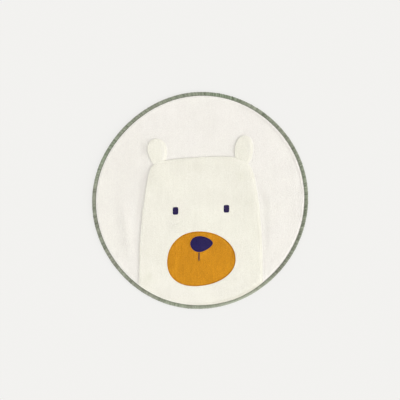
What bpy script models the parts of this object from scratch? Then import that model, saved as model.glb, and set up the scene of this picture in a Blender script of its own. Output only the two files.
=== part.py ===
"""A round kids' rug with a raised bear's head, 1.00 m across, in metres with +Z up.

The rug lies flat on z = 0 with its middle on the origin. The head's crown points to +Y.
Each zone of pile is a solid of its own that stands in a pocket of the zone round it.
"""

from collections import namedtuple
from math import cos, pi, radians, sin, tau

import bmesh
import bpy
import numpy as np

# The rug's round field and the yarn that binds its rim
RUG_RADIUS = 0.4984
AROUND = 96
CANVAS = 0.002
BINDING_WIDTH = 0.0192
THIN_SPOT = radians(292)
THIN_SPREAD = radians(14)
THIN_LOSS = 0.0042
BINDING_HEIGHT = 0.011
BINDING_SHOULDER = 0.004
BINDING_FOOT = 0.008
BINDING_SQUARENESS = 2.6
BINDING_STEPS = 6

# Clearances: between two pieces, beside the straight-sided rim, and past what a cutter cuts
GAP = 0.0003
RIM_GAP = 0.0006
PAST = 0.05

# The bear is laid a little askew: its level lines climb to the right, its upright ones stay upright
MIDDLE_X = 0.0027
SKEW = 0.042

# The head's outline, from its crown down to the rim
HEAD_TOP = 0.200
HEAD_SHOULDER = -0.020
HEAD_HALF_WIDTH = 0.2845
HEAD_WIDEST = -0.330
HEAD_TAPER = 0.185
LEFT_SQUARENESS = 12
RIGHT_SQUARENESS = 5.8
LEFT_BOW = 0.020
RIGHT_BOW = 0.010
CROWN_TURNS = 2000
CROWN_POINTS = 72
SIDE_POINTS = 12
FOOT_POINTS = 20
HALVINGS = 40

# Where the ears join the head, the head's edge falls by less
SEAMS = ((-0.189, 0.176), (0.195, 0.187))
SEAM_REACH = 0.032
SEAM_FILL = 0.75

# Each zone of pile: its foot and its even height, how far its edge falls and how far in that begins,
# how many rings its top has, and by how much its right edges are softer than its left ones
Pile = namedtuple("Pile", "foot height fall reach rings combed", defaults=(0,))
GROUND_PILE = Pile(foot=0, height=0.013, fall=0.004, reach=0.008, rings=32)
HEAD_PILE = Pile(foot=CANVAS + GAP, height=0.019, fall=0.0036, reach=0.020, rings=8, combed=0.6)
EAR_PILE = Pile(foot=CANVAS + GAP, height=0.0185, fall=0.0028, reach=0.015, rings=3, combed=0.6)
MUZZLE_PILE = Pile(foot=0.005, height=0.0168, fall=0.005, reach=0.008, rings=4)
EYE_PILE = Pile(foot=0.005, height=0.0185, fall=0.002, reach=0.003, rings=2)
NOSE_PILE = Pile(foot=0.008, height=0.0185, fall=0.003, reach=0.005, rings=2)
MOUTH_PILE = Pile(foot=0.008, height=0.0175, fall=0.001, reach=0.0012, rings=1)
EDGE_STEPS = 4
SHARE_OF_BEND = 0.6

# The face's ovals, in the bear's own frame before it is laid askew
Oval = namedtuple("Oval", "x y half_x half_y squareness widening lean tilt points")
EARS = {
    "left": Oval(-0.1990, 0.2233, 0.0424, 0.0693, 2.07, widening=0.30, lean=0, tilt=0.165, points=40),
    "right": Oval(0.1977, 0.2204, 0.0427, 0.0702, 2.09, widening=0.07, lean=0, tilt=-0.077, points=40),
}
EYES = {
    "left": Oval(-0.1173, -0.043, 0.0131, 0.0177, 4.4, widening=0, lean=0, tilt=0, points=28),
    "right": Oval(0.1173, -0.043, 0.0131, 0.0177, 4.4, widening=0, lean=0, tilt=0, points=28),
}
MUZZLE = Oval(0.0017, -0.268, 0.1575, 0.1255, 2.15, widening=-0.06, lean=0.095, tilt=0, points=64)
NOSE = Oval(0.0027, -0.2005, 0.052, 0.036, 1.9, widening=0.08, lean=0.25, tilt=0, points=40)
MOUTH_X = -0.009
MOUTH_HALF = 0.019
MOUTH_TOP = NOSE.y - (1 + NOSE.lean**2) * NOSE.half_y - 2 * GAP
MOUTH = Oval(MOUTH_X, MOUTH_TOP - MOUTH_HALF, 0.0025, MOUTH_HALF, 5, widening=0, lean=0, tilt=0, points=24)

OutOfRound = namedtuple("OutOfRound", "waves rise crest")
OUT_OF_ROUND = (
    OutOfRound(waves=2, rise=0.0050, crest=51),
    OutOfRound(waves=3, rise=0.0005, crest=-59),
    OutOfRound(waves=4, rise=0.0022, crest=-2),
    OutOfRound(waves=5, rise=0.0007, crest=29),
)

# Soft ridges left by folding, and broad swells of the pile. A slanted one leans left as it runs up.
Swell = namedtuple("Swell", "x y across along rise slant", defaults=(0,))
SWELLS = (
    Swell(x=-0.338, y=-0.154, across=0.020, along=0.120, rise=0.0046, slant=0.155),
    Swell(x=-0.405, y=-0.120, across=0.035, along=0.160, rise=-0.0014, slant=0.155),
    Swell(x=-0.257, y=0.070, across=0.015, along=0.085, rise=0.0018, slant=-0.2),
    Swell(x=-0.247, y=0.232, across=0.012, along=0.036, rise=0.0018),
    Swell(x=0.321, y=-0.090, across=0.016, along=0.115, rise=0.0036),
    Swell(x=0.346, y=-0.080, across=0.036, along=0.130, rise=0.0018),
    Swell(x=0.139, y=0.228, across=0.020, along=0.045, rise=0.0016),
    Swell(x=-0.060, y=0.330, across=0.130, along=0.050, rise=0.0006),
    Swell(x=0.260, y=0.330, across=0.070, along=0.060, rise=-0.0006),
    Swell(x=-0.120, y=0.090, across=0.080, along=0.070, rise=-0.0006),
    Swell(x=0.150, y=-0.130, across=0.060, along=0.120, rise=0.0006),
    Swell(x=-0.220, y=-0.250, across=0.040, along=0.130, rise=-0.0005),
)

Finish = namedtuple("Finish", "red green blue roughness")
FINISHES = {
    "cream_pile": Finish(0.88, 0.86, 0.80, 0.95),
    "head_pile": Finish(0.87, 0.86, 0.75, 0.95),
    "mustard_pile": Finish(0.63, 0.27, 0.02, 0.95),
    "navy_pile": Finish(0.027, 0.020, 0.095, 0.95),
    "sage_yarn": Finish(0.24, 0.26, 0.20, 0.90),
}


def clear_scene():
    for thing in list(bpy.data.objects):
        bpy.data.objects.remove(thing, do_unlink=True)


def new_collection(name):
    collection = bpy.data.collections.new(name)
    bpy.context.scene.collection.children.link(collection)
    return collection


def make_materials():
    materials = {}
    for name, finish in FINISHES.items():
        material = bpy.data.materials.new(name)
        material.use_nodes = True
        shader = material.node_tree.nodes["Principled BSDF"]
        shader.inputs["Base Color"].default_value = (finish.red, finish.green, finish.blue, 1)
        shader.inputs["Roughness"].default_value = finish.roughness
        shader.inputs["Metallic"].default_value = 0
        materials[name] = material
    return materials


def rise_at(x, y):
    """How far the pile's top stands above its zone's even height."""
    total = 0
    for swell in SWELLS:
        across = (x - swell.x + swell.slant * (y - swell.y)) / swell.across
        along = (y - swell.y) / swell.along
        total = total + swell.rise * np.exp(-(across**2) - along**2)
    return total


def rug_radius(angle):
    radius = RUG_RADIUS
    for wave in OUT_OF_ROUND:
        radius = radius + wave.rise * np.cos(wave.waves * (angle - radians(wave.crest)))
    return radius


def binding_width(angle):
    """The bound edge's width, which has one thin spot."""
    return BINDING_WIDTH - THIN_LOSS * np.exp(-(((angle % tau - THIN_SPOT) / THIN_SPREAD) ** 2))


def rim_points(angles, share, inward=0):
    """Points that share of the way across the bound edge from its outside, and so much further in."""
    radius = rug_radius(angles) - share * binding_width(angles) - inward
    return np.column_stack([radius * np.cos(angles), radius * np.sin(angles)])


def moved_in(outline, distance):
    """A closed anti-clockwise outline moved in by a distance, or out by a negative one."""
    along = np.roll(outline, -1, axis=0) - outline
    out = np.column_stack([along[:, 1], -along[:, 0]])
    out /= np.linalg.norm(out, axis=1)[:, None]
    before = np.roll(out, 1, axis=0)
    corner = (out + before) / (1 + (out * before).sum(axis=1))[:, None]
    return outline - corner * distance


def laid(points):
    """Points of the bear's own frame as the rug lies."""
    x = points[:, 0] + MIDDLE_X
    return np.column_stack([x, points[:, 1] + SKEW * x])


def squared(wave, squareness):
    """A sine or cosine drawn out so that the oval it draws has squarer corners."""
    return np.sign(wave) * np.abs(wave) ** (2 / squareness)


def oval_outline(oval):
    """An oval that can widen towards its top, be taller at its left, or have its top tilted left."""
    turn = np.arange(oval.points) * tau / oval.points
    across = squared(np.cos(turn), oval.squareness)
    up = squared(np.sin(turn), oval.squareness)
    x = oval.x + oval.half_x * (across * (1 + oval.widening * up) - oval.tilt * up)
    return laid(np.column_stack([x, oval.y + oval.half_y * up * (1 - oval.lean * across)]))


def evened(line, count):
    """The same line through that many evenly spaced points."""
    steps = np.linalg.norm(np.diff(line, axis=0), axis=1)
    along = np.concatenate([[0], np.cumsum(steps)])
    at = np.linspace(0, along[-1], count)
    return np.column_stack([np.interp(at, along, line[:, 0]), np.interp(at, along, line[:, 1])])


def head_half_width(y):
    return HEAD_HALF_WIDTH - HEAD_TAPER * (y - HEAD_WIDEST) ** 2


def side_meets_rim(side, inward):
    """The height at which the head's left or right side reaches the rim."""
    low, high = -RUG_RADIUS, HEAD_SHOULDER
    for _ in range(HALVINGS):
        middle = (low + high) / 2
        point = laid(np.array([[side * head_half_width(middle), middle]]))[0]
        angle = np.arctan2(point[1], point[0])
        limit = rug_radius(angle) - binding_width(angle) - inward
        if np.hypot(*point) > limit:
            low = middle
        else:
            high = middle
    return high


def head_side(side, inward):
    """One side of the head from its shoulder down to the rim, both ends included."""
    y = np.linspace(HEAD_SHOULDER, side_meets_rim(side, inward), SIDE_POINTS)
    return laid(np.column_stack([side * head_half_width(y), y]))


def head_outline(inward):
    """The head's outline, whose foot follows the bound edge at the given distance inside it."""
    turn = np.linspace(0, pi, CROWN_TURNS)
    squareness = np.where(turn > pi / 2, LEFT_SQUARENESS, RIGHT_SQUARENESS)
    bow = np.where(turn > pi / 2, LEFT_BOW, RIGHT_BOW)
    across = squared(np.cos(turn), squareness)
    y = HEAD_SHOULDER + (HEAD_TOP - HEAD_SHOULDER) * squared(np.sin(turn), squareness)
    crown = laid(np.column_stack([head_half_width(y) * across, y - bow * across**2]))
    crown = evened(crown, CROWN_POINTS)
    left = head_side(-1, inward)
    right = head_side(1, inward)
    start = np.arctan2(left[-1][1], left[-1][0])
    end = np.arctan2(right[-1][1], right[-1][0])
    foot = rim_points(np.linspace(start, end, FOOT_POINTS), 1, inward)
    return np.vstack([crown[1:-1], left, foot[1:-1], right[::-1]])


def at_height(outline, z):
    return np.column_stack([outline, np.broadcast_to(z, len(outline))])


def loft(name, rings, tip):
    """A closed mesh through rings of points, flat at the first and closed to a tip at the last."""
    shape = bmesh.new()
    loops = [[shape.verts.new(point) for point in ring] for ring in rings]
    for lower, upper in zip(loops, loops[1:]):
        for i in range(len(lower)):
            shape.faces.new((lower[i - 1], lower[i], upper[i], upper[i - 1]))
    shape.faces.new(reversed(loops[0]))
    top = shape.verts.new(tip)
    last = loops[-1]
    for i in range(len(last)):
        shape.faces.new((last[i - 1], last[i], top))
    mesh = bpy.data.meshes.new(name)
    shape.to_mesh(mesh)
    shape.free()
    return bpy.data.objects.new(name, mesh)


def facing_right(outline):
    """How far each point of an anti-clockwise outline faces right, from -1 to 1."""
    along = np.roll(outline, -1, axis=0) - np.roll(outline, 1, axis=0)
    return along[:, 1] / np.linalg.norm(along, axis=1)


def bend_radius(outline):
    """How tightly an anti-clockwise outline bends at each point."""
    before = outline - np.roll(outline, 1, axis=0)
    after = np.roll(outline, -1, axis=0) - outline
    step = (np.linalg.norm(before, axis=1) + np.linalg.norm(after, axis=1)) / 2
    cross = before[:, 0] * after[:, 1] - before[:, 1] * after[:, 0]
    turn = np.arctan2(cross, (before * after).sum(axis=1))
    return step / np.maximum(turn, 0.001)


def pile_zone(name, outline, pile, fall_share=1):
    """A zone of pile: upright sides, an edge that falls softly and a top that follows the swells."""
    softness = pile.combed * facing_right(outline)
    fall = pile.fall * fall_share * (1 + softness)
    reach = np.minimum(pile.reach * (1 + softness / 2), SHARE_OF_BEND * bend_radius(outline))
    rings = [at_height(outline, pile.foot)]
    for share in np.linspace(0, 1, EDGE_STEPS + 1):
        ring = moved_in(outline, (reach * share)[:, None])
        top = pile.height + rise_at(ring[:, 0], ring[:, 1])
        rings.append(at_height(ring, top - fall * (1 - share) ** 2))
    edge = rings[-1][:, :2]
    middle = (edge.min(axis=0) + edge.max(axis=0)) / 2
    for share in np.linspace(1, 0, pile.rings + 1)[1:-1]:
        ring = middle + (edge - middle) * share
        rings.append(at_height(ring, pile.height + rise_at(ring[:, 0], ring[:, 1])))
    return loft(name, rings, (*middle, pile.height + rise_at(*middle)))


def prism(name, outline, low, high):
    """A plain upright prism over an outline, for cutting."""
    shape = bmesh.new()
    face = shape.faces.new([shape.verts.new((x, y, low)) for x, y in outline])
    top = bmesh.ops.extrude_face_region(shape, geom=[face])["geom"]
    raised = [item for item in top if isinstance(item, bmesh.types.BMVert)]
    bmesh.ops.translate(shape, verts=raised, vec=(0, 0, high - low))
    bmesh.ops.recalc_face_normals(shape, faces=shape.faces)
    mesh = bpy.data.meshes.new(name)
    shape.to_mesh(mesh)
    shape.free()
    return bpy.data.objects.new(name, mesh)


def finish_part(part, material, collection, parent, smooth_below=50):
    part.data.materials.append(material)
    part.data.shade_smooth()
    part.data.set_sharp_from_angle(angle=radians(smooth_below))
    collection.objects.link(part)
    part.parent = parent


def add_cutter(name, outline, low, collection):
    cutter = prism(name, moved_in(outline, -GAP), low, PAST)
    cutter.hide_render = True
    cutter.display_type = "WIRE"
    collection.objects.link(cutter)
    return cutter


def cut(part, cutter):
    pocket = part.modifiers.new("pocket for " + cutter.name, "BOOLEAN")
    pocket.operation = "DIFFERENCE"
    pocket.solver = "EXACT"
    pocket.object = cutter


def make_ground():
    outline = rim_points(np.arange(AROUND) * tau / AROUND, 1, GAP)
    return pile_zone("rug_ground", outline, GROUND_PILE)


def make_head():
    outline = head_outline(RIM_GAP)
    fall_share = 1
    for seam in SEAMS:
        away = np.linalg.norm(outline - seam, axis=1) / SEAM_REACH
        fall_share = fall_share - SEAM_FILL * np.exp(-(away**2))
    return pile_zone("bear_head", outline, HEAD_PILE, fall_share)


def binding_section():
    """Half a rounded bead over a flat foot: how far each point lies from the bead's middle, and its height."""
    turn = np.linspace(0, pi, BINDING_STEPS + 1)
    across = BINDING_WIDTH / 2 * squared(np.cos(turn), BINDING_SQUARENESS)
    crown = BINDING_HEIGHT - BINDING_SHOULDER
    up = BINDING_SHOULDER + crown * squared(np.sin(turn), BINDING_SQUARENESS)
    foot = [(-BINDING_FOOT, 0), (BINDING_FOOT, 0)]
    return np.vstack([np.column_stack([across, up]), foot])


def make_binding():
    """The bound rim: its section carried round the rug's uneven edge."""
    angles = np.arange(AROUND) * tau / AROUND
    shape = bmesh.new()
    loops = []
    for across, up in binding_section():
        ring = at_height(rim_points(angles, 0.5 - across / BINDING_WIDTH), up)
        loops.append([shape.verts.new(point) for point in ring])
    for outer, inner in zip(loops, loops[1:] + loops[:1]):
        for i in range(AROUND):
            shape.faces.new((outer[i - 1], outer[i], inner[i], inner[i - 1]))
    mesh = bpy.data.meshes.new("edge_binding")
    shape.to_mesh(mesh)
    shape.free()
    return bpy.data.objects.new("edge_binding", mesh)


def make_rug():
    clear_scene()
    parts = new_collection("bear_rug")
    cutters = new_collection("cutters")
    cutters.hide_render = True
    materials = make_materials()
    rug = bpy.data.objects.new("rug", None)
    parts.objects.link(rug)

    def add(part, material):
        finish_part(part, materials[material], parts, rug)
        return part

    def pocket(part, name, outline, floor):
        cut(part, add_cutter(name, outline, floor, cutters))

    ground = add(make_ground(), "cream_pile")
    head = add(make_head(), "head_pile")
    muzzle = add(pile_zone("muzzle", oval_outline(MUZZLE), MUZZLE_PILE), "mustard_pile")
    add(pile_zone("nose", oval_outline(NOSE), NOSE_PILE), "navy_pile")
    add(pile_zone("mouth_line", oval_outline(MOUTH), MOUTH_PILE), "navy_pile")
    add(make_binding(), "sage_yarn")

    pocket(ground, "head_room", head_outline(-PAST), CANVAS)
    pocket(head, "muzzle_room", oval_outline(MUZZLE), MUZZLE_PILE.foot - GAP)
    pocket(muzzle, "nose_room", oval_outline(NOSE), NOSE_PILE.foot - GAP)
    pocket(muzzle, "mouth_room", oval_outline(MOUTH), MOUTH_PILE.foot - GAP)

    for side in ("left", "right"):
        ear_line = oval_outline(EARS[side])
        ear = add(pile_zone("ear_" + side, ear_line, EAR_PILE), "head_pile")
        pocket(ear, "head_beside_ear_" + side, head_outline(-PAST), -PAST)
        pocket(ground, "ear_room_" + side, ear_line, CANVAS)
        eye_line = oval_outline(EYES[side])
        add(pile_zone("eye_" + side, eye_line, EYE_PILE), "navy_pile")
        pocket(head, "eye_room_" + side, eye_line, EYE_PILE.foot - GAP)


make_rug()
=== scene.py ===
# %% [markdown]
# # A round tufted rug with a bear's head
#
# The rug is one canvas that carries tufts of yarn, in zones of different colour and height. Its rim is
# wrapped in thicker yarn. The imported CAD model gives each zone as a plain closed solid. This script keeps
# those places and sizes and builds what is seen: the tufts, the wrapped rim, the woven underside, the
# finishes, the light and the camera.

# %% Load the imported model
from collections import defaultdict, namedtuple
from math import pi, radians, tau

import bpy
import numpy as np
from mathutils.bvhtree import BVHTree
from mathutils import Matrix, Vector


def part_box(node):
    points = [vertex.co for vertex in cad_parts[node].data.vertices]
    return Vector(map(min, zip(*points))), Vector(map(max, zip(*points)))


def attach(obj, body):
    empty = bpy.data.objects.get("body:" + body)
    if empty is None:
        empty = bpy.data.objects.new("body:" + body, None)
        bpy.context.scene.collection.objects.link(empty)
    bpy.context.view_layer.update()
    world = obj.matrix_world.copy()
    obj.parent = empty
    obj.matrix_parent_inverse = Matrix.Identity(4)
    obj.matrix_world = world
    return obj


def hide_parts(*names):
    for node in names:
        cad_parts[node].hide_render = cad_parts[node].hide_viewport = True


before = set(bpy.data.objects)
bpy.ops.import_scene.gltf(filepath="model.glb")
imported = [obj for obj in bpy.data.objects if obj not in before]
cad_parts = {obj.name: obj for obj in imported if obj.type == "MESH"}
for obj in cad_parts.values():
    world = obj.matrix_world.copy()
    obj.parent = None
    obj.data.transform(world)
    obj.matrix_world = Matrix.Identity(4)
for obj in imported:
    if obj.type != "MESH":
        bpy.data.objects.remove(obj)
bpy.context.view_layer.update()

MM = 0.001

# %% [markdown]
# ## Camera
#
# The photograph looks straight down and shows the rug with hardly any perspective. So the camera hangs
# high above the rug with a long lens, and its distance is worked out from the width that the picture
# covers at the height of the rug's rim.

# %% The camera
PICTURE_WIDTH = 1.844
PICTURE_MIDDLE = (-0.0016, 0.0023)
RIM_HEIGHT = 0.011
LENS = 85
SENSOR = 36


def add_camera():
    height = RIM_HEIGHT + PICTURE_WIDTH * LENS / SENSOR
    bpy.ops.object.camera_add(location=(*PICTURE_MIDDLE, height), rotation=(0, 0, 0))
    camera = bpy.context.object
    camera.data.lens = LENS
    camera.data.sensor_width = SENSOR
    camera.data.clip_end = 100
    bpy.context.scene.camera = camera
    return camera


camera = add_camera()
print("camera height in metres:", round(camera.location.z, 3))

# %% [markdown]
# ## Light
#
# The photograph is bright and almost shadowless, yet the left and upper edges of the raised head are
# darker than the right ones. That is what a broad lamp gives that stands low on the right and a little
# below the picture, together with a bright even room. A world colour makes the room. The lamp is a sun
# lamp with a wide angle, so that it lights the floor evenly and its shadows are soft.

# %% Light and floor
ROOM_LIGHT = 1.09
LAMP_STRENGTH = 1.75
LAMP_SPREAD = radians(28)
LAMP_FROM = (1.0, -0.42, 0.35)
FLOOR_SIZE = 30
FLOOR_DROP = 0.0003


def add_room():
    world = bpy.data.worlds.new("bright_room")
    world.use_nodes = True
    world.node_tree.nodes["Background"].inputs["Color"].default_value = (1, 1, 1, 1)
    world.node_tree.nodes["Background"].inputs["Strength"].default_value = ROOM_LIGHT
    bpy.context.scene.world = world
    bpy.context.scene.view_settings.view_transform = "Standard"


def add_lamp():
    bpy.ops.object.light_add(type="SUN", location=LAMP_FROM)
    lamp = bpy.context.object
    lamp.name = "side_lamp"
    lamp.data.angle = LAMP_SPREAD
    lamp.data.energy = LAMP_STRENGTH
    lamp.rotation_euler = lamp.location.to_track_quat("Z", "Y").to_euler()


def add_floor():
    bpy.ops.mesh.primitive_plane_add(size=FLOOR_SIZE, location=(0, 0, -FLOOR_DROP))
    floor = bpy.context.object
    floor.name = "floor"
    return floor


add_room()
add_lamp()
floor = add_floor()
print("room light", ROOM_LIGHT, "lamp strength", LAMP_STRENGTH)

# %% [markdown]
# ## Writing node trees as sums
#
# Finishes and the planting of tufts are both node trees. One small class adds a node of any kind to a
# tree, and another wraps a socket so that an ordinary sum in Python adds the Math nodes for it.

# %% Helpers for node trees
NOISE_STRENGTH = 3.0
CLOTH_SHINE = 0.08
SHEEN_SPREAD = 0.5


class Wire:
    """A node's output, on which sums can be written."""

    def __init__(self, nodes, socket):
        self.nodes = nodes
        self.socket = socket

    def math(self, operation, first, second):
        return self.nodes.add("ShaderNodeMath", {"operation": operation}, {0: first, 1: second})

    def __add__(self, other):
        return self.math("ADD", self, other)

    def __radd__(self, other):
        return self.math("ADD", other, self)

    def __sub__(self, other):
        return self.math("SUBTRACT", self, other)

    def __mul__(self, other):
        return self.math("MULTIPLY", self, other)

class Nodes:
    """The nodes of one tree."""

    def __init__(self, tree):
        self.tree = tree
        tree.nodes.clear()

    def add(self, kind, settings=None, sockets=None, output=0):
        """Adds a node, its settings, and its sockets' values or links, and gives an output."""
        node = self.tree.nodes.new(kind)
        for name, value in (settings or {}).items():
            setattr(node, name, value)
        for key, value in (sockets or {}).items():
            if isinstance(value, Wire):
                self.tree.links.new(value.socket, node.inputs[key])
            else:
                node.inputs[key].default_value = value
        return Wire(self, node.outputs[output]) if node.outputs else node

    def sine(self, value):
        return self.add("ShaderNodeMath", {"operation": "SINE"}, {0: value})

    def mix(self, factor, first, second):
        """A colour between two others."""
        settings = {"data_type": "RGBA", "clamp_factor": True}
        return self.add("ShaderNodeMix", settings, {0: factor, 6: first, 7: second}, output=2)

    def attribute(self, name):
        return self.add("ShaderNodeAttribute", {"attribute_name": name}, output="Fac")

    def place(self):
        return self.add("ShaderNodeTexCoord", output="Object")

    def noise(self, place, stretch, detail=2.0):
        """Noise from about -1 to 1, with so many blobs to the metre along x, y and z."""
        moved = self.add("ShaderNodeMapping", None, {"Vector": place, "Scale": stretch})
        sockets = {"Vector": moved, "Scale": 1.0, "Detail": detail}
        return (self.add("ShaderNodeTexNoise", None, sockets) - 0.5) * NOISE_STRENGTH


def new_material(name):
    material = bpy.data.materials.new(name)
    material.use_nodes = True
    return material, Nodes(material.node_tree)


def soft_shader(nodes, colour, bump, roughness, strength, distance, sheen=0.0):
    """A matt cloth surface with a fine relief."""
    relief = {"Height": bump, "Strength": strength, "Distance": distance}
    sockets = {
        "Base Color": colour,
        "Roughness": roughness,
        "Specular IOR Level": CLOTH_SHINE,
        "Sheen Weight": sheen,
        "Sheen Roughness": SHEEN_SPREAD,
        "Normal": nodes.add("ShaderNodeBump", None, relief),
    }
    shader = nodes.add("ShaderNodeBsdfPrincipled", None, sockets)
    nodes.add("ShaderNodeOutputMaterial", None, {"Surface": shader})


# %% [markdown]
# ## Finishes
#
# Cut pile is matt yarn whose tips catch the light and whose roots lie in shade. That shade is painted:
# each tuft's colour turns darker towards its root, and the beds between the tufts take the dark root
# colour. The photograph shows three more things on it: faint upright streaks, because the tufts are shot
# in upright rows, broad blotches, because the pile lies a little differently from place to place, and
# single tufts that are a shade lighter or darker. Each is one noise or one number stored on the tufts,
# and their sum picks a colour between a dark and a light one. The light colour itself drifts between a
# cool and a warm one.

# %% Finish of the cut pile
# The first colour of each pile is painted shade for the tufts' roots; the other two are its cool and warm
# tips.
CREAM = ((0.76, 0.73, 0.69, 1), (0.952, 0.93, 0.893, 1), (0.948, 0.935, 0.862, 1))
HEAD = ((0.76, 0.74, 0.65, 1), (0.955, 0.932, 0.870, 1), (0.948, 0.936, 0.836, 1))
MUSTARD = ((0.44, 0.165, 0.007, 1), (0.85, 0.42, 0.023, 1), (0.83, 0.39, 0.021, 1))
NAVY = ((0.012, 0.008, 0.052, 1), (0.031, 0.022, 0.168, 1), (0.060, 0.040, 0.115, 1))
STREAKS = (130, 26, 30)
BLOTCHES = (11, 8, 9)
HUES = (5, 4, 5)
FIBRES = (1500, 1500, 500)
ROOT_LIGHT = 0.26
TIP_PAINTED_LIGHT = 0.46
TONE_LIGHT = 0.10
MIDDLE_HUE = 0.5
HUE_DRIFT = 0.4
WARM_SHARE = 0.5


def pile_material(name, colours, streaky=0.07, blotchy=0.10):
    """Cut pile between a painted-shade colour for the roots and two for the tips, which change places
    softly.
    """
    material, nodes = new_material(name)
    place = nodes.place()
    streaks = nodes.noise(place, STREAKS, detail=3)
    blotches = nodes.noise(place, BLOTCHES, detail=3)
    hue = nodes.noise(place, HUES)
    tip = nodes.attribute("tip")
    tone = nodes.attribute("tone")
    warm = nodes.attribute("warm")
    root, cool_tip, warm_tip = colours
    # The tip number paints shade at the roots; tone also carries the spots' painted shade and light.
    light = ROOT_LIGHT + tip * TIP_PAINTED_LIGHT + streaks * streaky + blotches * blotchy + tone * TONE_LIGHT
    tips = nodes.mix(MIDDLE_HUE + hue * HUE_DRIFT + warm * WARM_SHARE, cool_tip, warm_tip)
    colour = nodes.mix(light, root, tips)
    fibres = nodes.noise(place, FIBRES)
    relief = {"strength": 0.6, "distance": 0.4 * MM}
    soft_shader(nodes, colour, fibres, roughness=0.95, sheen=0.05, **relief)
    return material


# %% [markdown]
# The rim's yarn is twisted from plies, which show as fine slanting stripes, both as a relief and as
# painted shade between the plies. They follow the yarn, so the finish reads two numbers that the yarn
# carries: the angle along its turn and the share round its thickness. The canvas is a plain weave: one
# wave across another. The floor is a pale board that glows a little, so that the rug's own shade on it
# stays as faint as in the photograph.

# %% Finishes of the yarn, the canvas and the floor
SAGE_DEEP = ((0.100, 0.127, 0.075, 1), (0.125, 0.125, 0.095, 1))
SAGE_PALE = ((0.37, 0.43, 0.32, 1), (0.43, 0.43, 0.35, 1))
YARN_HUES = (5, 5, 5)
YARN_FUZZ = (160, 160, 160)
PLY_STRIPES = 26.0
PLIES = 2
YARN_LIGHT = 0.50
PLY_PAINTED_SHADE = 0.16
TURN_LIGHT = 0.20
FUZZ_LIGHT = 0.10
CANVAS_COLOURS = ((0.50, 0.45, 0.36, 1), (0.80, 0.76, 0.66, 1))
CANVAS_THREADS = 95.0
CANVAS_WEAR = (14, 14, 14)
CANVAS_LIGHT = 0.35
WEAVE_LIGHT = 0.6
WEAR_LIGHT = 0.12
FLOOR_COLOUR = (0.15, 0.15, 0.147, 1)
FLOOR_GLOW_COLOUR = (1.0, 0.991, 0.970, 1)
FLOOR_GLOW = 0.703


def yarn_material(name):
    material, nodes = new_material(name)
    place = nodes.place()
    around = nodes.attribute("around")
    along = nodes.attribute("along")
    ply = nodes.sine(along * PLY_STRIPES + around * tau * PLIES)
    tone = nodes.attribute("tone")
    warm = nodes.attribute("warm")
    hue = MIDDLE_HUE + nodes.noise(place, YARN_HUES) * HUE_DRIFT + warm * WARM_SHARE
    fuzz = nodes.noise(place, YARN_FUZZ)
    # The ply stripes are painted shade between the plies as well as a relief.
    light = YARN_LIGHT + ply * PLY_PAINTED_SHADE + tone * TURN_LIGHT + fuzz * FUZZ_LIGHT
    colour = nodes.mix(light, nodes.mix(hue, *SAGE_DEEP), nodes.mix(hue, *SAGE_PALE))
    relief = {"strength": 0.5, "distance": 0.6 * MM}
    soft_shader(nodes, colour, ply, roughness=0.9, sheen=0.05, **relief)
    return material


def canvas_material(name):
    material, nodes = new_material(name)
    place = nodes.place()
    threads = {"Vector": place, "Scale": CANVAS_THREADS}
    warp = nodes.add("ShaderNodeTexWave", {"bands_direction": "X"}, threads)
    weft = nodes.add("ShaderNodeTexWave", {"bands_direction": "Y"}, threads)
    weave = warp * weft
    wear = nodes.noise(place, CANVAS_WEAR, detail=4)
    light = CANVAS_LIGHT + weave * WEAVE_LIGHT + wear * WEAR_LIGHT
    colour = nodes.mix(light, *CANVAS_COLOURS)
    soft_shader(nodes, colour, weave, roughness=0.9, strength=0.8, distance=0.5 * MM)
    return material


def floor_material(name):
    material, nodes = new_material(name)
    matt = nodes.add("ShaderNodeBsdfDiffuse", None, {"Color": FLOOR_COLOUR})
    glow = nodes.add("ShaderNodeEmission", None, {"Color": FLOOR_GLOW_COLOUR, "Strength": FLOOR_GLOW})
    both = nodes.add("ShaderNodeAddShader", None, {0: matt, 1: glow})
    nodes.add("ShaderNodeOutputMaterial", None, {"Surface": both})
    return material


finishes = {
    "cream_pile": pile_material("cream_pile_tufts", CREAM),
    "head_pile": pile_material("head_pile_tufts", HEAD, streaky=0.11, blotchy=0.16),
    "mustard_pile": pile_material("mustard_pile_tufts", MUSTARD, streaky=0.14, blotchy=0.16),
    "navy_pile": pile_material("navy_pile_tufts", NAVY),
    "sage_yarn": yarn_material("sage_rim_yarn"),
}
canvas_finish = canvas_material("woven_canvas")
floor.data.materials.append(floor_material("pale_floor"))
print("finishes:", ", ".join(finishes))

# %% [markdown]
# ## The bed of each zone
#
# Under the tips of the tufts the pile is packed so close that it looks like a solid bed. Each bed is a
# copy of its zone's solid, merged and pressed down a little, so the tufts stand out of it. Round the
# head and the ears a tufter carves the pile away with shears, so their beds are drawn in further, which
# leaves a slot. The ground's bed carries the canvas that runs under the whole rug, so its flat underside
# is given a woven finish.

# %% Copying and pressing the solids
ZONE_SLOTS = {
    "rug_ground": "cream_pile",
    "bear_head": "head_pile",
    "ear_left": "head_pile",
    "ear_right": "head_pile",
    "muzzle": "mustard_pile",
    "nose": "navy_pile",
    "mouth_line": "navy_pile",
    "eye_left": "navy_pile",
    "eye_right": "navy_pile",
}
CARVED_ZONES = ("bear_head", "ear_left", "ear_right")
BED_DEPTH = 1.4 * MM
CARVED_SLOT = 0.5 * MM
PLAIN_SLOT = 0.2 * MM
MERGED_WITHIN = 0.01 * MM


def choose(piece):
    """Makes a piece the only selected one and the active one."""
    bpy.ops.object.select_all(action="DESELECT")
    piece.select_set(True)
    bpy.context.view_layer.objects.active = piece


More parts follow.
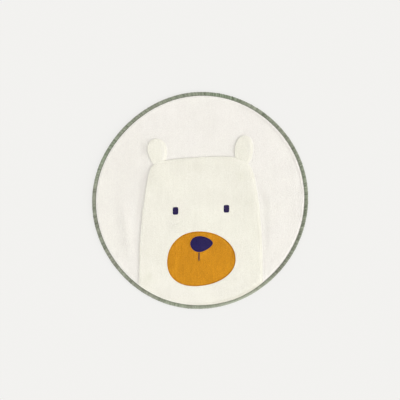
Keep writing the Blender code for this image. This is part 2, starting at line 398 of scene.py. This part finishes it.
def copied_solid(node, name):
    """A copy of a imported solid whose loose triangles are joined."""
    piece = bpy.data.objects.new(name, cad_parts[node].data.copy())
    bpy.context.scene.collection.objects.link(piece)
    piece.data.materials.clear()
    choose(piece)
    bpy.ops.object.mode_set(mode="EDIT")
    bpy.ops.mesh.select_all(action="SELECT")
    bpy.ops.mesh.remove_doubles(threshold=MERGED_WITHIN)
    bpy.ops.object.mode_set(mode="OBJECT")
    return piece


def press_down(piece, shares, middle):
    """Lowers a bed towards the floor and draws its sides in towards its middle."""
    choose(piece)
    bpy.ops.object.mode_set(mode="EDIT")
    bpy.ops.mesh.select_all(action="SELECT")
    bpy.ops.transform.resize(value=shares, center_override=(*middle, 0))
    bpy.ops.object.mode_set(mode="OBJECT")


def finish_piece(piece, slot, *nodes):
    piece.data.materials.clear()
    piece.data.materials.append(finishes[slot])
    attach(piece, "root")
    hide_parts(*nodes)


# A bed wears its zone's pile finish without a tip number, so it is coloured with the painted root shade.
def make_bed(node, slot):
    """A pressed copy of a zone's solid, drawn in by a slot."""
    bed = copied_solid(node, node + "_bed")
    low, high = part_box(node)
    middle = ((low.x + high.x) / 2, (low.y + high.y) / 2)
    slot_width = CARVED_SLOT if node in CARVED_ZONES else PLAIN_SLOT
    shares = (1 - 2 * slot_width / (high.x - low.x), 1 - 2 * slot_width / (high.y - low.y))
    press_down(bed, (*shares, 1 - BED_DEPTH / high.z), middle)
    finish_piece(bed, slot, node)
    return bed


beds = {node: make_bed(node, slot) for node, slot in ZONE_SLOTS.items()}


# %% The woven underside
FACES_DOWN = -0.9


def weave_underside(bed):
    bed.data.materials.append(canvas_finish)
    for face in bed.data.polygons:
        if face.normal.z < FACES_DOWN:
            face.material_index = 1


weave_underside(beds["rug_ground"])
print("faces in each bed:", {name: len(bed.data.polygons) for name, bed in beds.items()})

# %% [markdown]
# ## One tuft
#
# A tuft is a short bundle of yarn, tied at its root and spread at its cut tip. It is modelled once: a
# five-sided ring is extruded up and widened, and its top is poked to a low dome. Tens of thousands of
# copies follow, so it has few faces, and smooth shading makes it round. A number from root to tip is
# stored on its points for the finish to read.

# %% The tuft
TUFT_SIDES = 5
TUFT_ROOT = 1.5 * MM
TUFT_BELLY = 2.62 * MM
TUFT_SHOULDER = 2.5 * MM
TUFT_DOME = 0.95 * MM
TUFT_HEIGHT = TUFT_SHOULDER + TUFT_DOME


def make_tuft():
    choose(floor)
    bpy.ops.mesh.primitive_circle_add(vertices=TUFT_SIDES, radius=TUFT_ROOT, fill_type="NGON")
    tuft = bpy.context.object
    tuft.name = "tuft_pattern"
    bpy.ops.object.mode_set(mode="EDIT")
    bpy.ops.mesh.select_all(action="SELECT")
    move = {"value": (0, 0, TUFT_SHOULDER)}
    bpy.ops.mesh.extrude_region_move(TRANSFORM_OT_translate=move)
    spread = TUFT_BELLY / TUFT_ROOT
    bpy.ops.transform.resize(value=(spread, spread, 1))
    bpy.ops.mesh.poke(offset=TUFT_DOME)
    bpy.ops.mesh.select_all(action="SELECT")
    bpy.ops.mesh.normals_make_consistent(inside=False)
    bpy.ops.object.mode_set(mode="OBJECT")
    bpy.ops.object.shade_smooth()
    return tuft


def store(mesh, name, values, kind="FLOAT"):
    """Keeps one value for each point of a mesh, for nodes to read."""
    field = {"FLOAT": "value", "FLOAT_VECTOR": "vector", "QUATERNION": "value"}[kind]
    attribute = mesh.attributes.new(name, kind, "POINT")
    attribute.data.foreach_set(field, np.asarray(values, np.float32).ravel())


tuft = make_tuft()
heights = np.array([point.co.z for point in tuft.data.vertices])
store(tuft.data, "tip", heights / TUFT_HEIGHT)
print("tuft:", len(tuft.data.vertices), "points, top at", round(heights.max() / MM, 2), "mm")

# %% [markdown]
# ## Where the tufts go
#
# A tufter first follows the outline of a shape and then fills it with straight rows. The outline is
# found here by cutting a copy of the solid level at mid height, which leaves the outline as a loop of
# edges. Tufts are set along it, just inside, and upright rows fill the rest, each a little off its line.
# The photograph shows the creases at the left of the raised parts open and those at their right closed,
# as if the pile had been stroked to the right and down. So the edge tufts stand a little further in on
# one side and a little further out on the other, but not beside the rug's rim.


# %% The outline of a zone
def outline_loops(node, height):
    """The closed outlines of a solid at a height, each an array of points."""
    piece = copied_solid(node, "outline_of_" + node)
    bpy.ops.object.mode_set(mode="EDIT")
    bpy.ops.mesh.select_all(action="SELECT")
    level = {"plane_co": (0, 0, height), "plane_no": (0, 0, 1)}
    bpy.ops.mesh.bisect(**level, clear_inner=True, clear_outer=True)
    bpy.ops.object.mode_set(mode="OBJECT")
    beside = defaultdict(list)
    for edge in piece.data.edges:
        first, second = edge.vertices
        beside[first].append(second)
        beside[second].append(first)
    points = np.array([point.co[:2] for point in piece.data.vertices])
    bpy.data.objects.remove(piece)
    loops = []
    while beside:
        path = [next(iter(beside))]
        while path[-1] in beside:
            onward = [i for i in beside.pop(path[-1]) if i in beside]
            path += onward[:1]
            if not onward:
                break
        loops.append(points[path])
    return loops


def segments(loops):
    starts = np.vstack(loops)
    ends = np.vstack([np.roll(loop, -1, axis=0) for loop in loops])
    return starts, ends


def inside(points, loops):
    """Which points lie inside the loops, where a loop within another is a hole."""
    starts, ends = segments(loops)
    crossings = np.zeros(len(points), int)
    for start, end in zip(starts, ends):
        spans = (start[1] > points[:, 1]) != (end[1] > points[:, 1])
        rise = end[1] - start[1]
        if rise != 0:
            reach = start[0] + (points[:, 1] - start[1]) * (end[0] - start[0]) / rise
            crossings += spans & (points[:, 0] < reach)
    return crossings % 2 == 1


def distance(points, loops):
    """How far each point lies from the nearest outline."""
    nearest = np.full(len(points), np.inf)
    for start, end in zip(*segments(loops)):
        run = end - start
        share = np.clip((points - start) @ run / max(run @ run, 1e-12), 0, 1)
        away = np.linalg.norm(points - start - share[:, None] * run, axis=1)
        nearest = np.minimum(nearest, away)
    return nearest


# %% Tufts along the outline
OPEN_TOWARDS = np.array([0.92, -0.39])
RIM_BEGINS = 0.46
CLEAR_SHARE = 0.85


def spaced(loop, pitch):
    """Points at an even pitch along a loop."""
    closed = np.vstack([loop, loop[:1]])
    along = np.concatenate([[0], np.cumsum(np.linalg.norm(np.diff(closed, axis=0), axis=1))])
    count = max(3, round(along[-1] / pitch))
    at = np.arange(count) * along[-1] / count
    return np.column_stack([np.interp(at, along, closed[:, axis]) for axis in (0, 1)])


def beside_outline(loops, pitch, inset, combed):
    """Points just inside the outlines, further in or out by how far the pile is combed."""
    found = []
    for loop in loops:
        points = spaced(loop, pitch)
        run = np.roll(points, -1, axis=0) - np.roll(points, 1, axis=0)
        inward = np.column_stack([-run[:, 1], run[:, 0]])
        inward /= np.linalg.norm(inward, axis=1)[:, None]
        if inside(points + inward * inset, loops).mean() < 0.5:
            inward = -inward
        by_rim = np.linalg.norm(points, axis=1) > RIM_BEGINS
        depth = inset * (1 + np.where(by_rim, 0, combed) * (inward @ OPEN_TOWARDS))
        moved = points + inward * depth[:, None]
        found.append(moved[inside(moved, loops) & (distance(moved, loops) > CLEAR_SHARE * depth)])
    return np.vstack(found)


# %% Tufts in rows
Wave = namedtuple("Wave", "size rate shift")
ROW_WAVES = (Wave(0.35, 31, 0.07), Wave(0.25, 83, 0.11))
PLACE_CHANCE = 0.09


def in_rows(loops, across, along, margin, rng):
    """Points in upright rows inside the outlines, and each row's number."""
    low = np.vstack(loops).min(axis=0)
    high = np.vstack(loops).max(axis=0)
    lines = np.arange(int((high[0] - low[0]) / across) + 1)
    steps = np.arange(int((high[1] - low[1]) / along) + 1)
    row, step = np.meshgrid(lines, steps, indexing="ij")
    shift = rng.random(len(lines))[:, None]
    y = low[1] + (step + shift) * along
    wander = sum(wave.size * np.sin(y * wave.rate + row * wave.shift) for wave in ROW_WAVES)
    x = low[0] + (row + 0.5 + wander) * across
    points = np.column_stack([x.ravel(), y.ravel()])
    points += rng.normal(0, PLACE_CHANCE, points.shape) * (across, along)
    kept = inside(points, loops)
    kept[kept] = distance(points[kept], loops) > margin
    return points[kept], row.ravel()[kept]


outlines = {node: outline_loops(node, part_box(node)[1].z * 0.5) for node in ZONE_SLOTS}
counts = {node: [len(loop) for loop in loops] for node, loops in outlines.items()}
print("points in each outline:", counts)

# %% [markdown]
# ## Planting the tufts
#
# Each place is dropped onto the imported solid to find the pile's height and slope there. A tuft leans
# with the slope, and a little by chance. The places become the points of a mesh that holds each tuft's
# turn, size and tone, and a small Geometry Nodes tree sets a copy of the tuft on every point. The
# modifier is applied, so the result is one plain mesh.

# %% Height and slope of the pile
FACES_UP = 0.5
DROPPED_FROM = 1.0


def surface_under(node, points):
    """Where straight-down lines meet a solid, and the smooth slope of its top there."""
    solid = copied_solid(node, "surface_of_" + node)
    corners = np.array([point.co for point in solid.data.vertices])
    faces = [tuple(face.vertices) for face in solid.data.polygons]
    normals = np.zeros_like(corners)
    for face in solid.data.polygons:
        if face.normal.z > FACES_UP:
            normals[list(face.vertices)] += np.array(face.normal) * face.area
    tree = BVHTree.FromPolygons(corners.tolist(), faces)
    bpy.data.objects.remove(solid)
    places = np.zeros((len(points), 3))
    slopes = np.zeros((len(points), 3))
    for i, (x, y) in enumerate(points):
        place, facing, face, _ = tree.ray_cast((x, y, DROPPED_FROM), (0, 0, -1))
        a, b, c = corners[list(faces[face])]
        whole = np.cross(b - a, c - a)
        place = np.array(place)
        u = np.cross(c - b, place - b) @ whole
        v = np.cross(a - c, place - c) @ whole
        weights = np.array([u, v, whole @ whole - u - v]) / (whole @ whole)
        places[i] = place
        slopes[i] = weights @ normals[list(faces[face])]
    return places, slopes / np.linalg.norm(slopes, axis=1)[:, None]


def turns_to(axes, spins):
    """Quaternions that turn upright tufts to the given axes, after a spin about themselves."""
    tilt = np.column_stack([1 + axes[:, 2], -axes[:, 1], axes[:, 0], 0 * axes[:, 0]])
    tilt /= np.linalg.norm(tilt, axis=1)[:, None]
    c, s = np.cos(spins / 2), np.sin(spins / 2)
    w, x, y, _ = tilt.T
    return np.column_stack([w * c, x * c + y * s, y * c - x * s, w * s])


# %% The planting tree
def planting_tree(pattern):
    tree = bpy.data.node_groups.new("planting", "GeometryNodeTree")
    tree.interface.new_socket("Points", in_out="INPUT", socket_type="NodeSocketGeometry")
    tree.interface.new_socket("Planted", in_out="OUTPUT", socket_type="NodeSocketGeometry")
    nodes = Nodes(tree)
    points = nodes.add("NodeGroupInput")
    shape = nodes.add("GeometryNodeObjectInfo", None, {"Object": pattern}, output="Geometry")
    named = "GeometryNodeInputNamedAttribute"
    turn = nodes.add(named, {"data_type": "QUATERNION"}, {"Name": "turn"})
    size = nodes.add(named, {"data_type": "FLOAT_VECTOR"}, {"Name": "size"})
    sockets = {"Points": points, "Instance": shape, "Rotation": turn, "Scale": size}
    planted = nodes.add("GeometryNodeInstanceOnPoints", None, sockets)
    real = nodes.add("GeometryNodeRealizeInstances", None, {"Geometry": planted})
    nodes.add("NodeGroupOutput", None, {"Planted": real})
    return tree


def plant(name, tree, places, turns, sizes, shades):
    """One mesh with a copy of the pattern at every place. Its shades are numbers that a finish reads."""
    mesh = bpy.data.meshes.new(name)
    mesh.vertices.add(len(places))
    mesh.vertices.foreach_set("co", np.asarray(places, np.float32).ravel())
    store(mesh, "turn", turns, "QUATERNION")
    store(mesh, "size", sizes, "FLOAT_VECTOR")
    for shade, values in shades.items():
        store(mesh, shade, values)
    piece = bpy.data.objects.new(name, mesh)
    bpy.context.scene.collection.objects.link(piece)
    choose(piece)
    planting = piece.modifiers.new("planting", "NODES")
    planting.node_group = tree
    bpy.ops.object.modifier_apply(modifier=planting.name)
    return piece


tuft_tree = planting_tree(tuft)

# %% [markdown]
# ## Where the pile is a shade off, and where shade and light are painted
#
# The photograph shows places where the pile is a little darker, lighter or yellower than round them:
# the ground's left, the head's foot, a few places under its crown, the folds and some stretches of the
# rim. Each is given here as a soft spot, in metres, which shifts the shade of the tufts or turns of yarn
# in it. Several spots are painted shade: the shadows to the left of the head and of the left ear, the
# shaded sides of the folds, the line under the nose and the head's lit right edge are painted darker.
# Others are painted light: a dip in the head's pile, the left ear's lit right edge and the rim's stretch
# towards the lamp, on its lower right, are painted lighter. The pile just inside the rim is painted
# darker too, as the rim's painted shadow where it stands between it and the lamp. The eyes and the line
# under the nose look browner than the nose, so their tufts are warmer all over and the nose's are cooler.

# %% Spots of shade
Spot = namedtuple("Spot", "x y across along tone warm slant", defaults=(0,))
SPOTS = {
    "rug_ground": (
        Spot(-0.42, -0.02, 0.11, 0.26, tone=-1.2, warm=0.8),
        Spot(-0.33, 0.30, 0.12, 0.12, tone=-0.5, warm=0.2),
        Spot(-0.31, 0.11, 0.07, 0.12, tone=-1.3, warm=0.1),
        Spot(-0.37, -0.18, 0.06, 0.09, tone=-0.3, warm=0.9),
        Spot(0.00, 0.37, 0.30, 0.11, tone=-0.9, warm=-0.3),
        # painted shadow on the ground to the left of the head
        Spot(-0.275, 0.015, 0.012, 0.13, tone=-3.0, warm=1.0, slant=-0.135),
        # painted shadow on the ground to the left of the left ear
        Spot(-0.262, 0.237, 0.013, 0.036, tone=-4.0, warm=1.0, slant=0.15),
        # painted shade along the fold on the left
        Spot(-0.338, -0.24, 0.012, 0.05, tone=-1.2, warm=0.5, slant=0.155),
        Spot(0.285, 0.03, 0.013, 0.07, tone=-1.8, warm=0.3, slant=0.39),
        # painted shade along the fold on the right
        Spot(0.309, -0.20, 0.008, 0.07, tone=-1.6, warm=0.3, slant=-0.11),
        Spot(0.291, -0.13, 0.008, 0.12, tone=1.8, warm=0.0, slant=0.05),
    ),
    "bear_head": (
        Spot(0.00, -0.435, 0.22, 0.06, tone=0.8, warm=-0.6),
        Spot(-0.17, -0.36, 0.08, 0.08, tone=0.6, warm=-0.4),
        Spot(0.00, 0.14, 0.22, 0.06, tone=-0.6, warm=-0.2),
        Spot(-0.21, 0.08, 0.04, 0.11, tone=-1.2, warm=0.0),
        Spot(0.155, 0.005, 0.08, 0.045, tone=-1.7, warm=0.0),
        Spot(-0.025, 0.159, 0.035, 0.025, tone=-1.9, warm=0.3),
        Spot(0.081, 0.154, 0.012, 0.012, tone=-1.7, warm=0.0),
        Spot(0.187, 0.108, 0.025, 0.022, tone=-1.8, warm=1.0),
        Spot(0.235, -0.03, 0.03, 0.07, tone=-1.4, warm=0.1),
        # painted shade over the head's lit right edge
        Spot(0.2715, -0.16, 0.009, 0.13, tone=-3.4, warm=0.0, slant=0.067),
        Spot(-0.234, -0.348, 0.010, 0.018, tone=-3.0, warm=1.0),
        Spot(-0.248, -0.360, 0.020, 0.030, tone=-1.5, warm=1.0),
        # painted light over a dip in the head's pile
        Spot(-0.118, -0.113, 0.012, 0.012, tone=3.0, warm=0.0),
    ),
    "ear_left": (
        Spot(-0.20, 0.21, 0.06, 0.08, tone=-1.1, warm=0.1),
        Spot(-0.155, 0.22, 0.018, 0.06, tone=0.0, warm=-1.8),
        # painted highlight along the left ear's lit right edge
        Spot(-0.172, 0.22, 0.009, 0.05, tone=1.2, warm=-0.5),
    ),
    "ear_right": (
        Spot(0.19, 0.22, 0.05, 0.08, tone=-1.0, warm=0.5),
        Spot(0.243, 0.23, 0.018, 0.06, tone=0.0, warm=-2.0),
    ),
    "muzzle": (
        Spot(0.13, -0.27, 0.04, 0.08, tone=-0.7, warm=0.0),
    ),
    "mouth_line": (
        # painted shade over the line under the nose
        Spot(-0.009, -0.256, 0.05, 0.05, tone=-4.0, warm=0.0),
    ),
    "edge_binding": (
        Spot(0.463, -0.124, 0.16, 0.16, tone=-1.0, warm=0.0),
        Spot(0.478, 0.042, 0.10, 0.10, tone=-0.4, warm=0.0),
        Spot(0.340, 0.340, 0.20, 0.20, tone=-0.5, warm=0.0),
        Spot(0.100, 0.470, 0.09, 0.09, tone=-0.6, warm=-1.0),
        Spot(-0.463, 0.124, 0.10, 0.10, tone=0.9, warm=-0.2),
        Spot(-0.410, 0.240, 0.08, 0.08, tone=0.0, warm=-0.8),
        Spot(-0.473, -0.083, 0.08, 0.08, tone=-0.5, warm=0.0),
        Spot(-0.392, -0.275, 0.10, 0.10, tone=0.4, warm=0.7),
        Spot(-0.309, -0.368, 0.05, 0.05, tone=-0.8, warm=0.4),
        Spot(-0.240, -0.416, 0.05, 0.05, tone=0.7, warm=0.4),
        Spot(-0.060, -0.476, 0.14, 0.14, tone=1.4, warm=0.2),
        # painted light on the rim's stretch towards the lamp
        Spot(0.185, -0.443, 0.09, 0.09, tone=4.8, warm=0.0),
        Spot(0.309, -0.368, 0.05, 0.05, tone=0.5, warm=0.1),
        Spot(0.240, 0.416, 0.04, 0.04, tone=0.9, warm=0.0),
        Spot(0.368, -0.309, 0.05, 0.05, tone=-1.8, warm=0.8),
    ),
}
WIDE_ZONES = ("rug_ground", "bear_head")
# Inside the rim, on the lamp's side, the tufts are painted darker: a painted shadow of the rim.
RIM_INSIDE = 0.4735
RIM_PAINTED_SHADOW_WIDTH = 0.0055
RIM_PAINTED_SHADOW = -14.0
RIM_SHADED_SIDE = np.array([0.97, -0.26])
WARMTH = {"nose": -0.6, "mouth_line": 1.0, "eye_left": 0.7, "eye_right": 0.7}


def shades_at(node, points):
    """How far the pile's tone and warmth are off at some places in a zone, with the spots' painted shade
    and light and the rim's painted shadow.
    """
    warm = np.full(len(points), WARMTH.get(node, 0.0))
    tone = np.zeros(len(points))
    if node in WIDE_ZONES:
        # painted shadow of the rim on the pile just inside it
        radius = np.linalg.norm(points, axis=1)
        share = np.exp(-((np.maximum(0, RIM_INSIDE - radius) / RIM_PAINTED_SHADOW_WIDTH) ** 2))
        tone = RIM_PAINTED_SHADOW * share * np.maximum(0, points @ RIM_SHADED_SIDE / radius)
    for spot in SPOTS.get(node, ()):
        up = points[:, 1] - spot.y
        across = (points[:, 0] - spot.x + spot.slant * up) / spot.across
        along = up / spot.along
        share = np.exp(-(across**2) - along**2)
        tone += spot.tone * share
        warm += spot.warm * share
    return tone, warm


print("spots of shade:", {node: len(spots) for node, spots in SPOTS.items()})

# %% [markdown]
# The zones differ in pitch: small shapes such as the eyes and the line under the nose need finer tufts
# to keep their outlines. Each zone has a limit to how far its tufts lean with the slope, and beside the
# rim they lean against it, inwards, because the binding pushes them. The ground and the head are each
# planted in two halves, because one mesh of either would be heavy to work with.

# %% Planting every zone
MOST_LEAN = {"ear_left": 0.18, "ear_right": 0.20, "bear_head": 0.26}
PLAIN_LEAN = 0.3
RIM_LEAN = -0.6
LEAST_SLOPE = 0.01
LEAN_CHANCE = 0.09
EDGE_INSET = 1.8 * MM
ROWS_FROM_EDGE = 0.78
COMBED = {"rug_ground": -0.22, "bear_head": 0.12, "ear_left": 0.12, "ear_right": 0.12}
SIZE_CHANCE = 0.07
ROW_TONE_CHANCE = 0.2
TUFT_TONE_CHANCE = 0.6
ROOT_DEPTH = 2.7 * MM
BASE_PITCH = 4.6 * MM
PITCH = {
    "rug_ground": (4.5, 4.6),
    "bear_head": (4.5, 4.6),
    "ear_left": (4.2, 4.3),
    "ear_right": (4.2, 4.3),
    "muzzle": (4.2, 4.3),
    "nose": (3.5, 3.6),
    "mouth_line": (2.6, 2.6),
    "eye_left": (3.2, 3.3),
    "eye_right": (3.2, 3.3),
}


def zone_places(node, rng):
    """Every tuft's place in a zone, with the number of its row and its size."""
    across, along = (pitch * MM for pitch in PITCH[node])
    loops = outlines[node]
    inset = EDGE_INSET * along / BASE_PITCH
    edge = beside_outline(loops, along, inset, COMBED.get(node, 0))
    filled, rows = in_rows(loops, across, along, inset + ROWS_FROM_EDGE * along, rng)
    points = np.vstack([edge, filled])
    rows = np.concatenate([np.zeros(len(edge), int), rows + 1])
    return points, rows, along / BASE_PITCH


def plant_zone(node, name, kept=None):
    """The tufts of a zone, or of the part of it that kept picks."""
    rng = np.random.default_rng(sum(node.encode()))
    points, rows, scale = zone_places(node, rng)
    places, slopes = surface_under(node, points)
    count = len(points)
    most = MOST_LEAN.get(node, PLAIN_LEAN)
    steepness = np.maximum(LEAST_SLOPE, np.linalg.norm(slopes[:, :2], axis=1)[:, None])
    leans = slopes[:, :2] * np.minimum(1, most / steepness)
    if node in WIDE_ZONES:
        leans[np.linalg.norm(points, axis=1) > RIM_BEGINS] *= RIM_LEAN
    leans += rng.normal(0, LEAN_CHANCE, (count, 2))
    axes = np.column_stack([leans, np.ones(count)])
    axes /= np.linalg.norm(axes, axis=1)[:, None]
    turns = turns_to(axes, rng.uniform(0, tau, count))
    sizes = scale * (1 + rng.normal(0, SIZE_CHANCE, (count, 3)))
    sizes[:, 2] = 1 + rng.normal(0, SIZE_CHANCE, count)
    row_tones = rng.normal(0, ROW_TONE_CHANCE, rows.max() + 1)
    tone, warm = shades_at(node, points)
    tone += row_tones[rows] + rng.normal(0, TUFT_TONE_CHANCE, count)
    chosen = np.ones(count, bool) if kept is None else kept(points)
    planted = (places - axes * ROOT_DEPTH)[chosen]
    shades = {"tone": tone[chosen], "warm": warm[chosen]}
    piece = plant(name, tuft_tree, planted, turns[chosen], sizes[chosen], shades)
    finish_piece(piece, ZONE_SLOTS[node], node)
    return piece


HALVES = {"left": lambda at: at[:, 0] < 0, "right": lambda at: at[:, 0] >= 0}
tufts = {node: plant_zone(node, node + "_tufts") for node in ZONE_SLOTS if node not in WIDE_ZONES}
for node in WIDE_ZONES:
    for side, kept in HALVES.items():
        name = node + "_tufts_" + side
        tufts[node + "_" + side] = plant_zone(node, name, kept)
bpy.data.objects.remove(tuft)


def triangles(piece):
    return sum(len(face.vertices) - 2 for face in piece.data.polygons)


print("triangles of tufts:", {name: triangles(piece) for name, piece in tufts.items()})

# %% [markdown]
# ## The wrapped rim
#
# The rim is overcast: one thick yarn is wound round the edge again and again, a little aslant. One turn
# of it is modelled as a ring of yarn by spinning a small circle. Its upper half is then pressed to the
# height of the rim's crown, and its lower half is pressed flatter, down to the floor. Copies stand side
# by side all the way round, on a core that is a slimmer copy of the rim's solid.

# %% One turn of yarn
RIM_WIDTH = 19.2 * MM
RIM_SHOULDER = 4 * MM
RIM_OFF_FLOOR = 0.1 * MM
YARN_DEPTH = 1.8 * MM
YARN_WIDTH = 2.6 * MM
YARN_SIDES = 5
YARN_STEPS = 14
TURN_RADIUS = RIM_WIDTH / 2 - YARN_DEPTH


def resize_part(piece, chosen, value):
    """Scales the points of a piece that a test picks, about its origin."""
    bpy.ops.object.mode_set(mode="EDIT")
    bpy.ops.mesh.select_all(action="DESELECT")
    bpy.ops.object.mode_set(mode="OBJECT")
    for point in piece.data.vertices:
        point.select = chosen(point.co)
    bpy.ops.object.mode_set(mode="EDIT")
    bpy.ops.transform.resize(value=value, center_override=(0, 0, 0))
    bpy.ops.object.mode_set(mode="OBJECT")


def make_turn():
    choose(floor)
    place = {"location": (TURN_RADIUS, 0, 0), "radius": YARN_DEPTH}
    bpy.ops.mesh.primitive_circle_add(vertices=YARN_SIDES, **place)
    turn = bpy.context.object
    turn.name = "yarn_turn_pattern"
    bpy.ops.object.transform_apply(location=True)
    bpy.ops.object.mode_set(mode="EDIT")
    bpy.ops.mesh.select_all(action="SELECT")
    bpy.ops.transform.resize(value=(1, YARN_WIDTH / YARN_DEPTH, 1), center_override=(0, 0, 0))
    bpy.ops.mesh.spin(steps=YARN_STEPS, angle=tau, center=(0, 0, 0), axis=(0, 1, 0))
    bpy.ops.mesh.select_all(action="SELECT")
    bpy.ops.mesh.remove_doubles(threshold=MERGED_WITHIN)
    bpy.ops.mesh.normals_make_consistent(inside=False)
    bpy.ops.object.mode_set(mode="OBJECT")
    points = np.array([point.co for point in turn.data.vertices])
    along = np.arctan2(points[:, 2], points[:, 0])
    out = np.hypot(points[:, 0], points[:, 2]) - TURN_RADIUS
    store(turn.data, "along", along)
    store(turn.data, "around", np.arctan2(points[:, 1], out) / tau)
    rise = (RIM_HEIGHT - RIM_SHOULDER) / (RIM_WIDTH / 2)
    fall = (RIM_SHOULDER - RIM_OFF_FLOOR) / (RIM_WIDTH / 2)
    resize_part(turn, lambda co: co.z > 0, (1, 1, rise))
    resize_part(turn, lambda co: co.z < 0, (1, 1, fall))
    bpy.ops.object.shade_smooth()
    return turn


yarn_turn = make_turn()
print("one turn of yarn:", triangles(yarn_turn), "triangles")

# %% The rim's core and its turns of yarn
TURN_PITCH = 4.7 * MM
TURN_SLANT = radians(11)
CORE_INSET = 1.2 * MM
RIM_STEPS = 96
RIM_SEED = 11
TURN_PLACE_CHANCE = 0.12
TURN_RADIUS_CHANCE = 0.15 * MM
TURN_SLANT_CHANCE = 0.05
TURN_SIZE_CHANCE = 0.03
TURN_WIDTH_CHANCE = 0.10
TURN_TONE_CHANCE = 0.9


def rim_edges(angles):
    """The rim's outer and inner radius at some angles, read from its solid."""
    points = np.array([point.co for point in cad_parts["edge_binding"].data.vertices])
    steps = np.round(np.arctan2(points[:, 1], points[:, 0]) / tau * RIM_STEPS) % RIM_STEPS
    radii = np.hypot(points[:, 0], points[:, 1])
    stops = np.arange(RIM_STEPS) * tau / RIM_STEPS
    outer = [radii[steps == i].max() for i in range(RIM_STEPS)]
    inner = [radii[steps == i].min() for i in range(RIM_STEPS)]
    return [np.interp(angles, stops, radius, period=tau) for radius in (outer, inner)]


def make_core():
    core = copied_solid("edge_binding", "rim_core")
    bpy.ops.object.mode_set(mode="EDIT")
    bpy.ops.mesh.select_all(action="SELECT")
    bpy.ops.transform.shrink_fatten(value=-CORE_INSET)
    bpy.ops.object.mode_set(mode="OBJECT")
    finish_piece(core, "sage_yarn", "edge_binding")
    return core


def make_rim_yarn():
    rng = np.random.default_rng(RIM_SEED)
    low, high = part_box("edge_binding")
    count = round((high.x - low.x - RIM_WIDTH) * pi / TURN_PITCH)
    angles = (np.arange(count) + rng.normal(0, TURN_PLACE_CHANCE, count)) * tau / count
    outer, inner = rim_edges(angles)
    radius = (outer + inner) / 2 + rng.normal(0, TURN_RADIUS_CHANCE, count)
    heights = np.full(count, RIM_SHOULDER)
    places = np.column_stack([radius * np.cos(angles), radius * np.sin(angles), heights])
    spins = angles + TURN_SLANT + rng.normal(0, TURN_SLANT_CHANCE, count)
    flat = np.zeros(count)
    turns = np.column_stack([np.cos(spins / 2), flat, flat, np.sin(spins / 2)])
    sizes = 1 + rng.normal(0, TURN_SIZE_CHANCE, (count, 3))
    sizes[:, 0] *= (outer - inner) / RIM_WIDTH
    sizes[:, 1] = 1 + rng.normal(0, TURN_WIDTH_CHANCE, count)
    sizes[:, 2] = 1
    tone, warm = shades_at("edge_binding", places)
    shades = {"tone": tone + rng.normal(0, TURN_TONE_CHANCE, count), "warm": warm}
    piece = plant("rim_yarn", planting_tree(yarn_turn), places, turns, sizes, shades)
    finish_piece(piece, "sage_yarn", "edge_binding")
    return piece


rim_core = make_core()
rim_yarn = make_rim_yarn()
bpy.data.objects.remove(yarn_turn)
print("rim yarn:", triangles(rim_yarn), "triangles")

# %% [markdown]
# ## The rug as one cloth
#
# All the zones are one cloth, a metre across, laid flat on the floor. The ground's bed with its canvas
# stands for that cloth, and the rest goes with it.

others = [*beds.values(), *tufts.values(), rim_core, rim_yarn]
others.remove(beds["rug_ground"])
cloth = beds["rug_ground"]
print("triangles in all:", sum(triangles(piece) for piece in [cloth, *others]))
